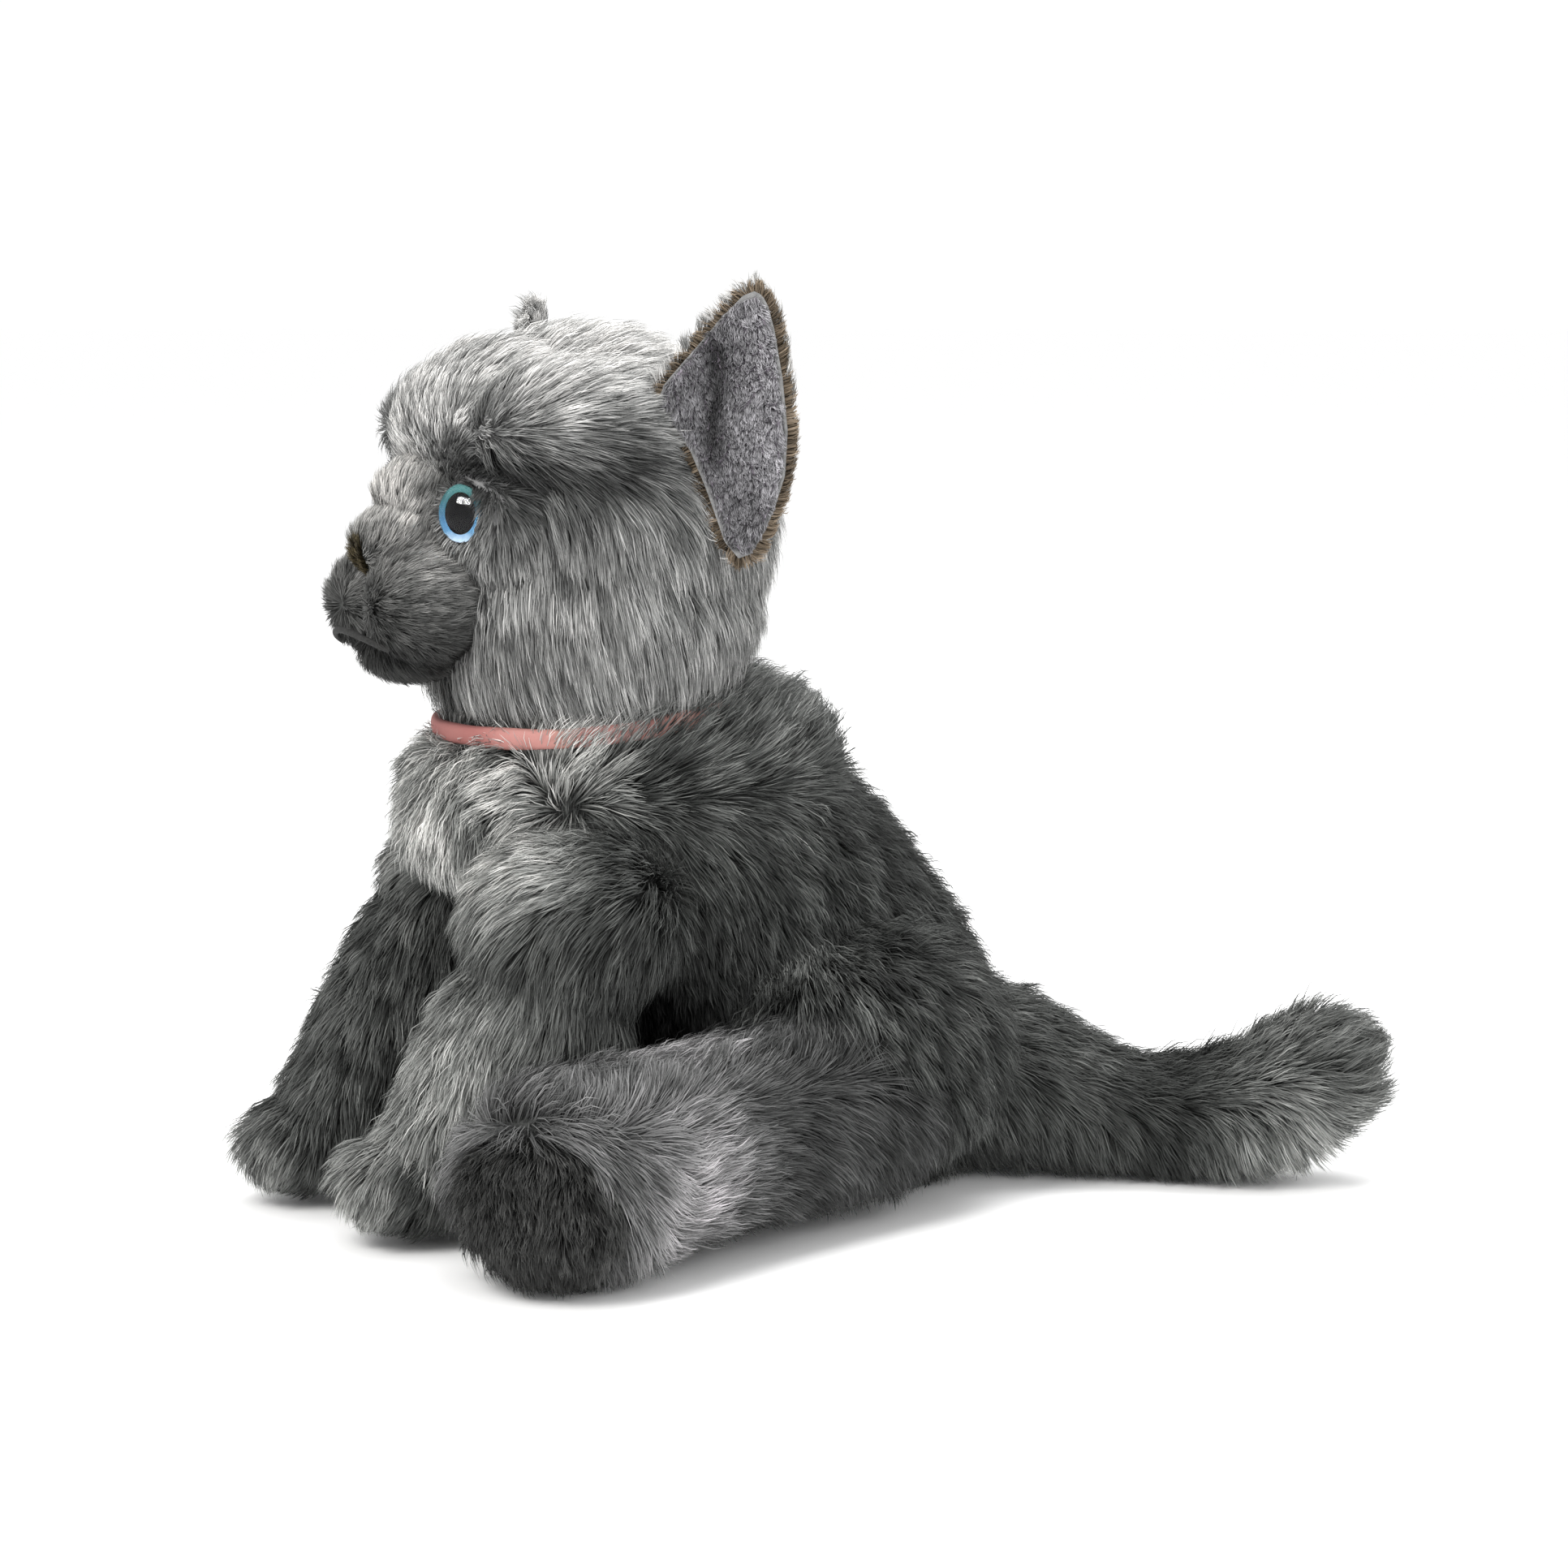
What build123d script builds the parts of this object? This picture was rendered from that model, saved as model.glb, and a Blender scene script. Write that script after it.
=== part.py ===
from build123d import *

import math
import os

os.makedirs("parts", exist_ok=True)

# Sitting plush cat. Millimetres. It faces -Y, +X is its own left side, +Z is up.
# The origin is the middle of the flat seat, on the ground.

# ---------------------------------------------------------------- driving dimensions
SKIN = 3.0  # plush fabric with the root of its pile
GAP = 0.3  # clearance between separate pieces

TORSO_SECTIONS = [  # height, middle along Y, half width, half length
    (0, 8, 44, 54),
    (12, 8, 54, 66),
    (38, 8, 56, 69),
    (62, 2, 53, 66),
    (86, -14, 49, 63),
    (102, -24, 44, 56),
    (113, -30, 38, 48),
]

NECK = (0, -37, 120)  # where the neck bends
NECK_TILT = 5  # the neck leans forward
NECK_BALL_R = 32
NECK_R = 37
NECK_LOW, NECK_HIGH = 4, 13  # the straight part, above the bend
SPIGOT_R, SPIGOT_TOP = 18, 28
NOD_RANGE = (-12, 10)

COLLAR_LOW, COLLAR_HIGH = 5, 12.6
COLLAR_THICK = 2.4

SKULL_AT, SKULL = (0, -38, 177), (54, 48, 48)
CHEEKS_AT, CHEEKS = (0, -40, 160), (51, 45, 36)
MUZZLE_AT, MUZZLE = (0, -86, 155), (26, 20, 18)
BRIDGE_AT, BRIDGE = (0, -80, 171), (13, 20, 16)
NOSE_AT, NOSE = (0, -103.5, 164), (5.5, 3.8, 7)
MOUTH_HALF, MOUTH_Z, MOUTH_DROP = 15, 150, 4
THREAD_R = 0.8

EYE_AT = (22.5, -82.5, 179.5)
EYE_AIM = (0.36, -0.93, 0.05)
EYE_R = 7.3
PUPIL_R = 5.1
DOME_H = 4.0
SHANK_R, SHANK_L = 2.0, 15
WASHER_R, WASHER_T = 8.2, 1.5
WASHER_BACK = 5.0  # from the eye's seat to the washer, through the fabric

EAR_LOW, EAR_HIGH = (54, -28, 168), (43.5, -39, 209)  # ends of the seam on the head
EAR_OUT = (0.53, 0.83, 0.17)  # from the seam towards the ear's free edge
EAR_OUTLINE = [(0, -21), (12, -24), (27, -13), (33, 6), (29, 26), (22, 38), (13, 34), (4, 26), (0, 20)]
EAR_CUP_R = 40
EAR_ROOT_R = 2.6
EAR_RANGE = (-10, 20)  # positive turns the ear away from the head
RIGHT_EAR_FORWARD = 6

SHOULDER = (40, -52, 81)
FRONT_LEG = [(0, 22.5), (0.45, 19.5), (1, 14.5)]
FRONT_PAW = (17, 21, 15.5)
FRONT_PAW_AT = {1: (27, -104, 16.2), -1: (-25, -109, 16.2)}
LEG_RANGE = (0, 45)

HIP = (54, 10, 30)
HIND_LEG = [(0, 26), (0.5, 23), (1, 25)]
HIND_PAW_AT = {1: (84, -82, 26.5), -1: (-76, -60, 26.5)}
SOLE_BACK = 19  # from the middle of the hind paw to the fabric under the sole
SOLE = (22, 17.5)
SOLE_T = 4
SOLE_TURN = {1: 40, -1: -22}  # which way the sole looks, turned from straight ahead
SPLAY_RANGE = (-4, 15)

TAIL_ROOT, TAIL_MID, TAIL_END = (22, 60, 20), (55, 97, 17.5), (84, 133, 28)
TAIL_BASE = [(0, 18), (0.5, 15.5), (1, 15.5)]
TAIL_TIP = [(0, 15.5), (0.5, 16.5), (1, 16.5)]
TAIL_RIM = 6  # where the tip's fabric starts, past the middle of the bend
SWING_RANGE = (-20, 20)

POUCH_AT, POUCH = (0, -8, 19), (19, 38, 14)
POUCH_CLOTH = 1.0

SIDES = {"left": 1, "right": -1}


# ---------------------------------------------------------------- helpers
def egg(at, radii, inset=0):
    """An ellipsoid, smaller all round by the inset."""
    return Pos(*at) * scale(Sphere(1), by=tuple(r - inset for r in radii))


def ball(at, radius):
    return Pos(*at) * Sphere(radius)


def limb(start, end, radii, inset=0):
    """A round limb on a straight line, with a half ball at each end."""
    length = (Vector(*end) - Vector(*start)).length
    first, last = radii[0][1] - inset, radii[-1][1] - inset
    points = [(r - inset, t * length) for t, r in radii]
    side = Spline(*points, tangents=[(0, 1), (0, 1)])
    low = CenterArc((0, 0), first, -90, 90)
    high = CenterArc((0, length), last, 0, 90)
    middle = Line((0, length + last), (0, -first))
    outline = Plane.XZ * make_face([low, side, high, middle])
    aim = Vector(*end) - Vector(*start)
    return Plane(origin=start, z_dir=aim).location * revolve(outline, Axis.Z, 360)


def travel_room(start, end, radii, axis, angles, grow):
    """The room a limb needs while it turns about its start: a ball, the limb at its two
    limits without the ball, and the wedge between them."""
    aim = Vector(*end) - Vector(*start)
    length, near = aim.length, radii[0][1] * 0.4
    wide = max(r for t, r in radii) + grow
    base, tip = radii[0][1] + grow + 1, radii[-1][1] + grow + 2.5
    rod = Cone(base, tip, length, align=(Align.CENTER, Align.CENTER, Align.MIN))
    rod = Plane(origin=start, z_dir=aim).location * rod
    blade = Plane(origin=start, z_dir=Vector(*axis).cross(aim), x_dir=aim).location
    blade = blade * (Pos(near + length / 2, 0, 0) * Rectangle(length, 2 * wide + 3))
    turn = Axis(start, axis)
    wedge = revolve(blade.rotate(turn, angles[0]), turn, angles[1] - angles[0])
    socket = Pos(*start) * (Rot(90, 0, 0) * Sphere(radii[0][1] + grow))
    return [socket, wedge, rod.rotate(turn, angles[0]), rod.rotate(turn, angles[1])]


def without(shape, cutters):
    """The shape less each cutter, one after another."""
    for cutter in cutters:
        shape = max((shape - cutter).solids(), key=lambda solid: solid.volume)
    return shape


def skin_and_stuffing(name, shape):
    """A closed fabric skin, and the stuffing inside it. The shape takes an inset."""
    return {f"{name}_skin": shape(0) - shape(SKIN), f"{name}_stuffing": shape(SKIN + GAP)}


def one_side(at, side):
    return (at[0] * side, at[1], at[2])


# ---------------------------------------------------------------- limbs
def wrist(side):
    foot = FRONT_PAW_AT[side]
    return (foot[0], foot[1] + 4, foot[2] + 2)


def front_leg(side, inset=0):
    leg = limb(one_side(SHOULDER, side), wrist(side), FRONT_LEG, inset)
    return leg + egg(FRONT_PAW_AT[side], FRONT_PAW, inset)


def sole_place(side):
    foot = HIND_PAW_AT[side]
    turn = math.radians(SOLE_TURN[side])
    aim = Vector(math.sin(turn), -math.cos(turn), 0)
    return Plane(origin=Vector(*foot) + aim * SOLE_BACK, z_dir=aim, x_dir=(0, 0, 1))


def sole(side, grow=0):
    place = sole_place(side)
    pad = extrude(Ellipse(SOLE[1] + grow, SOLE[0] + grow), SOLE_T)
    return place.location * (Pos(0, 0, -grow) * pad)


def hind_leg(side, inset=0):
    foot = HIND_PAW_AT[side]
    cut = Pos(0, 0, 40 - inset) * Box(90, 90, 80)
    return limb(one_side(HIP, side), foot, HIND_LEG, inset) - sole_place(side).location * cut


def tail_base(inset=0):
    return limb(TAIL_ROOT, TAIL_MID, TAIL_BASE, inset)


def tail_tip(inset=0):
    """The end of the tail, hollowed to fit round the ball at the end of the tail's base."""
    aim = Vector(*TAIL_END) - Vector(*TAIL_MID)
    length, side, last = aim.length, TAIL_TIP[0][1] - inset, TAIL_TIP[-1][1] - inset
    hollow, rim = TAIL_BASE[-1][1] + GAP + inset, TAIL_RIM + inset
    reach = math.sqrt(hollow**2 - rim**2)
    if reach > side:
        reach, rim = side, math.sqrt(hollow**2 - side**2)
    angle = math.degrees(math.atan2(rim, reach))
    edges = [CenterArc((0, 0), hollow, angle, 90 - angle)]
    if reach < side:
        edges.append(Line((reach, rim), (side, rim)))
    points = [(side, rim)] + [(r - inset, t * length) for t, r in TAIL_TIP[1:]]
    edges.append(Spline(*points, tangents=[(0, 1), (0, 1)]))
    edges.append(CenterArc((0, length), last, 0, 90))
    edges.append(Line((0, length + last), (0, hollow)))
    outline = Plane.XZ * make_face(edges)
    return Plane(origin=TAIL_MID, z_dir=aim).location * revolve(outline, Axis.Z, 360)


# ---------------------------------------------------------------- neck, collar and torso
def on_neck(shape):
    return Pos(*NECK) * (Rot(NECK_TILT, 0, 0) * shape)


def column(radius, low, high):
    return Pos(0, 0, low) * Cylinder(radius, high - low, align=(Align.CENTER, Align.CENTER, Align.MIN))


def neck(inset=0):
    shape = Sphere(NECK_BALL_R - inset) - Pos(0, 0, NECK_HIGH + 40 - inset) * Box(99, 99, 80)
    shape += column(NECK_R - inset, NECK_LOW + inset, NECK_HIGH - inset)
    return on_neck(shape + column(SPIGOT_R - inset, 0, SPIGOT_TOP - inset))


def collar():
    inner = NECK_R + GAP
    band = column(inner + COLLAR_THICK, COLLAR_LOW, COLLAR_HIGH)
    return on_neck(band - column(inner, 0, 30))


def torso(inset=0):
    rings = []
    for height, y, half_x, half_y in TORSO_SECTIONS:
        z = min(max(height, inset), TORSO_SECTIONS[-1][0] - inset)
        rings.append(Pos(0, y, z) * Ellipse(half_x - inset, half_y - inset))
    shape = loft(rings) - ball(NECK, NECK_BALL_R + GAP + inset)
    grow = GAP + inset
    for side in SIDES.values():
        shoulder, hip = one_side(SHOULDER, side), one_side(HIP, side)
        room = travel_room(shoulder, wrist(side), FRONT_LEG, (-1, 0, 0), LEG_RANGE, grow)
        room += travel_room(hip, HIND_PAW_AT[side], HIND_LEG, (0, 0, side), SPLAY_RANGE, grow)
        shape = without(shape, room)
    return without(shape, travel_room(TAIL_ROOT, TAIL_MID, TAIL_BASE, (0, 0, 1), SWING_RANGE, grow))


# ---------------------------------------------------------------- ears
def ear_place(side):
    low, high = Vector(*EAR_LOW), Vector(*EAR_HIGH)
    along, out = (high - low).normalized(), Vector(*EAR_OUT)
    out = (out - along * out.dot(along)).normalized()
    middle = (low + high) * 0.5
    if side < 0:
        middle = Vector(-middle.X, middle.Y - RIGHT_EAR_FORWARD, middle.Z)
        along, out = Vector(-along.X, along.Y, along.Z), Vector(-out.X, out.Y, out.Z)
    return Plane(origin=middle, x_dir=out, z_dir=out.cross(along) * side)


def ear_leaf(side, low, high, size=1):
    """A cupped leaf between two depths below the cup's outer face."""
    points = [(16 + (x - 16) * size, (5 + (y - 5) * size) * side) for x, y in EAR_OUTLINE]
    leaf = extrude(make_face([Spline(*points, points[0])]), 15, both=True)
    centre = Pos(16, 0, EAR_CUP_R - 4.6) * Rot(90, 0, 0)
    cup = centre * Cylinder(EAR_CUP_R - low, 120) - centre * Cylinder(EAR_CUP_R - high, 130)
    leaf = leaf & cup
    return leaf - Pos(0, 0, 30 + 6) * Box(120, 120, 60)


def ear_root(side, radius):
    return ear_place(side).location * (Rot(90, 0, 0) * Cylinder(radius, 42))


def ear(side):
    """The ear's back and lining, trimmed to clear the head at both ends of the travel."""
    place = ear_place(side)
    turn = Axis(place.origin, place.y_dir)
    angles = (EAR_RANGE[1], 0.5 * EAR_RANGE[1], 0, 0.5 * EAR_RANGE[0], EAR_RANGE[0])
    skulls = [egg(SKULL_AT, SKULL, -GAP).rotate(turn, angle) for angle in angles]
    back = without(place.location * ear_leaf(side, 0, 2.6), skulls) + ear_root(side, EAR_ROOT_R)
    lining = place.location * ear_leaf(side, 2.7, 4.6, 0.84) - ear_root(side, EAR_ROOT_R + GAP)
    return back, without(lining, skulls)


# ---------------------------------------------------------------- head
def eye_place(side):
    aim = one_side(EYE_AIM, side)
    return Plane(origin=one_side(EYE_AT, side), z_dir=aim, x_dir=(0, 0, 1)).location


def disc(radius, low, high):
    return column(radius, low, high)


def eye(name, side):
    place = eye_place(side)
    front = 0.6
    dome_r = (EYE_R**2 + DOME_H**2) / (2 * DOME_H)
    dome = Pos(0, 0, front + 0.1 + DOME_H - dome_r) * Sphere(dome_r)
    dome = dome & disc(20, front + 0.1, 20)
    shank = disc(EYE_R, -1, 0) + disc(SHANK_R, -SHANK_L, -0.5)
    for step in range(4):
        shank += disc(SHANK_R + 0.25, -13.5 + 1.8 * step, -12.9 + 1.8 * step)
    washer = disc(WASHER_R, -WASHER_BACK - WASHER_T, -WASHER_BACK) - disc(SHANK_R + 0.08, -20, 0)
    pieces = {
        "dome": dome,
        "iris": disc(EYE_R - 0.2, 0.05, front) - disc(PUPIL_R + 0.05, -1, 2),
        "pupil": disc(PUPIL_R, 0.05, front),
        "shank": shank,
        "washer": washer,
    }
    return {f"eye_{name}_{part}": place * shape for part, shape in pieces.items()}


def eye_room(side, inset):
    """The space an eye takes out of the skin, out of the skin's hollow, or out of the stuffing."""
    post = disc(SHANK_R + 0.5, -SHANK_L - 1, 0)
    if inset == 0:
        room = disc(EYE_R + GAP, -1.1, 12) + post
    elif inset == SKIN:
        room = disc(EYE_R + 2, -3.4, 12)
    else:
        room = disc(EYE_R + 2.6, -WASHER_BACK - GAP - WASHER_T, 12) + post
    return eye_place(side) * room


def head(inset=0):
    shape = egg(SKULL_AT, SKULL, inset) + egg(CHEEKS_AT, CHEEKS, inset)
    floor = NECK_HIGH + GAP + inset
    shape -= on_neck(Pos(0, 0, floor - 60) * Box(160, 160, 120))
    shape -= on_neck(column(SPIGOT_R + GAP + inset, 0, SPIGOT_TOP + GAP + inset))
    for side in SIDES.values():
        shape -= eye_room(side, inset)
        shape -= ear_root(side, EAR_ROOT_R + GAP + inset)
    return shape


def muzzle(inset=0):
    shape = egg(MUZZLE_AT, MUZZLE, inset) + egg(BRIDGE_AT, BRIDGE, inset)
    shape -= egg(SKULL_AT, SKULL, -GAP - inset) + egg(CHEEKS_AT, CHEEKS, -GAP - inset)
    for side in SIDES.values():
        shape -= eye_room(side, inset)
    return shape


def mouth(radius):
    points = []
    for step in range(-3, 4):
        x = MOUTH_HALF * step / 3
        z = MOUTH_Z - MOUTH_DROP * (step / 3) ** 2
        rest = 1 - (x / MUZZLE[0]) ** 2 - ((z - MUZZLE_AT[2]) / MUZZLE[2]) ** 2
        points.append((x, MUZZLE_AT[1] - MUZZLE[1] * math.sqrt(rest), z))
    path = Spline(*points)
    start = Plane(origin=path @ 0, z_dir=path % 0)
    return sweep(start * Circle(radius), path)


# ---------------------------------------------------------------- pieces
def pouch(inset=0):
    return egg(POUCH_AT, POUCH, inset)


pieces = {}
pieces.update(skin_and_stuffing("torso", torso))
pieces["torso_stuffing"] -= pouch(-GAP)
pieces["bean_pouch"] = pouch() - pouch(POUCH_CLOTH)
pieces["bean_pellets"] = pouch(POUCH_CLOTH + GAP)
pieces.update(skin_and_stuffing("neck", neck))
pieces["collar_band"] = collar()

pieces.update(skin_and_stuffing("head", head))
pieces.update(skin_and_stuffing("muzzle", muzzle))
pieces["nose"] = egg(NOSE_AT, NOSE) - egg(MUZZLE_AT, MUZZLE, -0.05) - egg(BRIDGE_AT, BRIDGE, -0.05)
pieces["muzzle_skin"] -= mouth(THREAD_R + 0.05)
pieces["mouth_stitch"] = mouth(THREAD_R)

for name, side in SIDES.items():
    pieces.update(eye(name, side))
    pieces[f"ear_{name}_back"], pieces[f"ear_{name}_lining"] = ear(side)
    pieces.update(skin_and_stuffing(f"front_leg_{name}", lambda inset, s=side: front_leg(s, inset)))
    pieces.update(skin_and_stuffing(f"hind_leg_{name}", lambda inset, s=side: hind_leg(s, inset)))
    pieces[f"hind_leg_{name}_sole"] = sole(side)

pieces.update(skin_and_stuffing("tail_base", tail_base))
pieces.update(skin_and_stuffing("tail_tip", tail_tip))

for name, shape in pieces.items():
    export_step(shape, f"parts/{name}.step")
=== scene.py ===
import math

import bpy
import numpy as np
from mathutils import Matrix, Vector, kdtree


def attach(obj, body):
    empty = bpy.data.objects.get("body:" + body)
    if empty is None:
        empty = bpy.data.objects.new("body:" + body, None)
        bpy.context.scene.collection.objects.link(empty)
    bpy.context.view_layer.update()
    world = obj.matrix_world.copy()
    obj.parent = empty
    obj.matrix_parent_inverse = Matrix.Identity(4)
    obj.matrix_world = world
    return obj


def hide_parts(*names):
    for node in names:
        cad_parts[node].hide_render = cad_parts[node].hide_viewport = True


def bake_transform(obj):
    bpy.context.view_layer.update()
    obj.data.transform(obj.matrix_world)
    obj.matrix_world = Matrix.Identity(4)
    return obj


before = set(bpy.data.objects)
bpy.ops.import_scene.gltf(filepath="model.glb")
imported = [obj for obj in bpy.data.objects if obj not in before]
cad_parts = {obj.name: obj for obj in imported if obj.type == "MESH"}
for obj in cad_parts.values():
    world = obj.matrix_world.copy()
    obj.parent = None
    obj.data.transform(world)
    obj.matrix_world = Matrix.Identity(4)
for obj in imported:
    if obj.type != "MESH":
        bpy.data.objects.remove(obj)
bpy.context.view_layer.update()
MM = 0.001
DENSITY = 1.0

# The cat faces -Y, +X is its own left, +Z is up. Shapes are worked out in millimetres.
PILE = 6.5  # the fabric lies this far below the mean surface of the long pile

# Degrees round from the cat's front towards its left, and degrees above level.
CAMERA_TURN, CAMERA_PITCH = 61.0, 7.6
CAMERA_AT = (0.86344, -0.45854, 0.23514)  # metres
CAMERA_LENS, CAMERA_SENSOR = 86.0, 36.0
CAT_MIDDLE = (0, 0, 0.1)  # what the lights aim at, in metres


# ------------------------------------------------------------------ camera, lights and floor
def make_camera():
    turn, pitch = math.radians(CAMERA_TURN), math.radians(CAMERA_PITCH)
    level = math.cos(pitch)
    back = Vector((math.sin(turn) * level, -math.cos(turn) * level, math.sin(pitch)))
    right = Vector((math.cos(turn), math.sin(turn), 0))
    up = back.cross(right)
    data = bpy.data.cameras.new("camera")
    data.lens, data.sensor_width = CAMERA_LENS, CAMERA_SENSOR
    data.clip_start, data.clip_end = 0.01, 20
    cam = bpy.data.objects.new("camera", data)
    bpy.context.scene.collection.objects.link(cam)
    place = Matrix((right, up, back)).transposed().to_4x4()
    place.translation = Vector(CAMERA_AT)
    cam.matrix_world = place
    bpy.context.scene.camera = cam


def area_light(name, at, size, power, target=CAT_MIDDLE, colour=(1, 1, 1), only=()):
    """A square lamp. Where only is given, it lights just those objects."""
    data = bpy.data.lights.new(name, "AREA")
    data.shape, data.size, data.energy, data.color = "SQUARE", size, power, colour
    light = bpy.data.objects.new(name, data)
    light.location = at
    light.rotation_euler = (Vector(target) - Vector(at)).to_track_quat("-Z", "Y").to_euler()
    bpy.context.scene.collection.objects.link(light)
    if only:
        lit = bpy.data.collections.new(f"{name}_lights")
        for made in only:
            lit.objects.link(made)
        light.light_linking.receiver_collection = lit


def make_stage():
    area_light("key", (0.35, -0.95, 1.05), 0.6, 13, colour=(1, 0.99, 0.97))
    # two window panes that only the clear domes of the eyes reflect
    domes = [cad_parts[f"eye_{side}_dome"] for side in ("left", "right")]
    for side, at in (("left", (0.16, -1.03, 1.06)), ("right", (0.65, -0.81, 1.06))):
        area_light(f"window_{side}", at, 0.46, 70, only=domes)
    area_light("fill", (1.25, 0.15, 0.55), 0.9, 5)
    area_light("top", (-0.1, 0.35, 1.25), 0.8, 10, target=(0, 0, 0.12))
    world = bpy.data.worlds.new("world")
    world.use_nodes = True
    sky = world.node_tree.nodes["Background"]
    sky.inputs["Color"].default_value = (1, 1, 1, 1)
    sky.inputs["Strength"].default_value = 1.03
    bpy.context.scene.world = world
    floor_size = 60  # metres, so its far edge is level with the horizon
    bpy.ops.mesh.primitive_plane_add(size=floor_size, location=(0, 0, 0))
    floor = bpy.context.object
    floor.name = "floor"
    mat = bpy.data.materials.new("floor_paper")
    mat.use_nodes = True
    shader = mat.node_tree.nodes["Principled BSDF"]
    shader.inputs["Base Color"].default_value = (0.97, 0.97, 0.97, 1)
    shader.inputs["Roughness"].default_value = 0.9
    floor.data.materials.append(mat)
    bpy.context.scene.view_settings.view_transform = "Standard"


# ------------------------------------------------------------------ materials
def new_material(name, roughness=0.8, specular=0.3):
    mat = bpy.data.materials.new(name)
    mat.use_nodes = True
    shader = mat.node_tree.nodes["Principled BSDF"]
    shader.inputs["Roughness"].default_value = roughness
    shader.inputs["Specular IOR Level"].default_value = specular
    return mat, mat.node_tree, shader


def node(tree, kind, **inputs):
    made = tree.nodes.new(kind)
    for key, value in inputs.items():
        made.inputs[key].default_value = value
    return made


def ramp(tree, stops):
    made = tree.nodes.new("ShaderNodeValToRGB")
    parts = made.color_ramp.elements
    while len(parts) < len(stops):
        parts.new(0.5)
    for part, (at, colour) in zip(parts, stops):
        part.position, part.color = at, (*colour, 1)
    return made


# A strand's tone is a display grey, from 0 to 255. These are the stops of its colour ramp.
GREYS = np.array([10, 40, 70, 100, 130, 160, 190, 220, 245], float)
DISPLAY_GAMMA = 2.2


def linear(grey):
    return (grey / 255) ** DISPLAY_GAMMA


def pile_material(name, dark=(1, 1, 1), light=(1, 1, 1), root=0.35, tip=1.2):
    """Strands: the first UV number is the strand's tone, the second how far along it a point is.
    Dark tones are tinted one way and light tones another. Roots are shaded, tips are lit."""
    mat, tree, shader = new_material(name, 0.62, 0.2)
    uv = tree.nodes.new("ShaderNodeUVMap")
    uv.uv_map = "OFBake"
    split = tree.nodes.new("ShaderNodeSeparateXYZ")
    stops = []
    for i, grey in enumerate(GREYS):
        t = i / (len(GREYS) - 1)
        stops.append((t, [linear(grey) * (a + (b - a) * t) for a, b in zip(dark, light)]))
    tones = ramp(tree, stops)
    along = ramp(tree, [(0, (root,) * 3), (0.35, (0.66,) * 3), (0.8, (0.97,) * 3), (1, (tip,) * 3)])
    shaded = tree.nodes.new("ShaderNodeMix")
    shaded.data_type, shaded.blend_type = "RGBA", "MULTIPLY"
    factor, first_colour, second_colour, colour_out = 0, 6, 7, 2  # the node's sockets for RGBA
    shaded.inputs[factor].default_value = 1
    link = tree.links.new
    link(uv.outputs[0], split.inputs[0])
    link(split.outputs[0], tones.inputs[0])
    link(split.outputs[1], along.inputs[0])
    link(tones.outputs[0], shaded.inputs[first_colour])
    link(along.outputs[0], shaded.inputs[second_colour])
    link(shaded.outputs[colour_out], shader.inputs["Base Color"])
    return mat


def mottled(name, dark, light, scale, roughness, bump=0.0, specular=0.3, detail=6):
    """A matte material that drifts between two colours, with fine bumps where asked."""
    mat, tree, shader = new_material(name, roughness, specular)
    place = tree.nodes.new("ShaderNodeTexCoord")
    noise = node(tree, "ShaderNodeTexNoise", Scale=scale, Detail=detail, Roughness=0.65)
    tree.links.new(place.outputs["Object"], noise.inputs["Vector"])
    colours = ramp(tree, [(0.3, dark), (0.7, light)])
    tree.links.new(noise.outputs[0], colours.inputs[0])
    tree.links.new(colours.outputs[0], shader.inputs["Base Color"])
    if bump:
        bumps = node(tree, "ShaderNodeBump", Strength=bump, Distance=0.0004)
        fine = node(tree, "ShaderNodeTexNoise", Scale=scale * 5, Detail=3)
        tree.links.new(place.outputs["Object"], fine.inputs["Vector"])
        tree.links.new(fine.outputs[0], bumps.inputs["Height"])
        tree.links.new(bumps.outputs[0], shader.inputs["Normal"])
    return mat


# ------------------------------------------------------------------ building meshes
def mesh_object(name, points, faces):
    mesh = bpy.data.meshes.new(name)
    mesh.from_pydata([tuple(p) for p in points], [], faces)
    mesh.update()
    made = bpy.data.objects.new(name, mesh)
    bpy.context.scene.collection.objects.link(made)
    mesh.polygons.foreach_set("use_smooth", [True] * len(mesh.polygons))
    return made


def ring_form(rings):
    """Points and faces of a closed form through rings of equal length, in millimetres."""
    count, points, faces = len(rings[0]), [], []
    for ring in rings:
        points.extend(ring)
    for i in range(len(rings) - 1):
        for j in range(count):
            k = (j + 1) % count
            low, high = i * count, (i + 1) * count
            faces.append((low + j, low + k, high + k, high + j))
    faces.append(tuple(reversed(range(count))))
    faces.append(tuple((len(rings) - 1) * count + j for j in range(count)))
    return points, faces


def egg(at, radii):
    """An ellipsoid as rings."""
    levels, around, rings = 24, 40, []
    for i in range(1, levels):
        a = math.pi * i / levels - math.pi / 2
        ring = []
        for j in range(around):
            b = 2 * math.pi * j / around
            x, y = radii[0] * math.cos(a) * math.cos(b), radii[1] * math.cos(a) * math.sin(b)
            ring.append((at[0] + x, at[1] + y, at[2] + radii[2] * math.sin(a)))
        rings.append(ring)
    return ring_form(rings)


def curve_through(points, steps):
    """Catmull-Rom points through rows of numbers."""
    p = np.array(points, float)
    p = np.vstack([2 * p[0] - p[1], p, 2 * p[-1] - p[-2]])
    out = []
    for i in range(1, len(p) - 2):
        for t in np.linspace(0, 1, steps, endpoint=False):
            a, b, c, d = p[i - 1], p[i], p[i + 1], p[i + 2]
            bend, twist = 2 * a - 5 * b + 4 * c - d, 3 * b - a - 3 * c + d
            out.append(0.5 * (2 * b + (c - a) * t + bend * t**2 + twist * t**3))
    out.append(p[-2])
    return np.array(out)


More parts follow.
